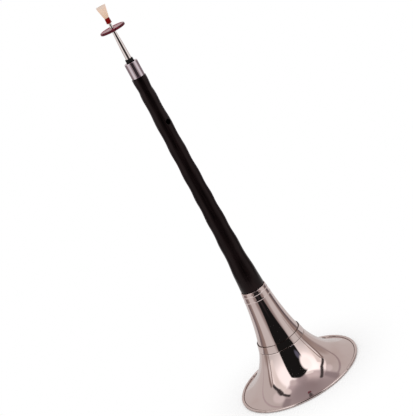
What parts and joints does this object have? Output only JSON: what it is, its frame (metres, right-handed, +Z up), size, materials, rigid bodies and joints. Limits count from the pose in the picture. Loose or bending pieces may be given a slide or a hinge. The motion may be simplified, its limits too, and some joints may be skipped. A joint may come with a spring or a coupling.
{
  "type": "suona",
  "caption": "Double-reed horn: cane reed on a metal staple with a lip disc, black turned wooden pipe with finger holes, and a detachable flared metal bell that it stands on.",
  "frame": {"origin": "centre of the bell rim's flat underside, where the horn stands", "axes": "+Z up the bore towards the reed; +X across the flat of the reed; the thumb hole faces between -Y and +X"},
  "size_m": [0.125, 0.125, 0.407],
  "materials": {
    "bell_nickel": "mirror-polished nickel plate on spun sheet metal",
    "rim_steel": "bare drawn wire",
    "black_wood": "black-stained, oiled satin",
    "tenon_cork": "cork sheet, greased",
    "ferrule_nickel": "polished nickel plate",
    "staple_metal": "polished nickel plate",
    "sleeve_black": "matte black",
    "disc_lacquer": "dark maroon gloss lacquer",
    "reed_cane": "scraped cane, matte",
    "binding_red": "waxed red thread"
  },
  "bodies": {
    "bell": {"bell_throat": "bell_nickel", "bell_flare": "bell_nickel", "rim_wire": "rim_steel"},
    "pipe": {"wood_body": "black_wood", "top_ferrule": "ferrule_nickel", "tenon_packing": "tenon_cork"},
    "staple": {"staple_tube": "staple_metal", "staple_packing": "sleeve_black"},
    "lip_disc": {"lip_disc": "disc_lacquer"},
    "reed": {"reed_cane": "reed_cane", "reed_binding": "binding_red"}
  },
  "joints": [
    {"name": "pipe_lift", "type": "slide", "parent": "bell", "child": "pipe", "axis": [0, 0, 1], "range_m": [0, 0.035]},
    {"name": "staple_pull", "type": "slide", "parent": "pipe", "child": "staple", "axis": [0, 0, 1], "range_m": [0, 0.022]},
    {"name": "disc_lift", "type": "slide", "parent": "staple", "child": "lip_disc", "axis": [0, 0, 1], "range_m": [0, 0.004]},
    {"name": "reed_pull", "type": "slide", "parent": "staple", "child": "reed", "axis": [0, 0, 1], "range_m": [0, 0.008]}
  ]
}
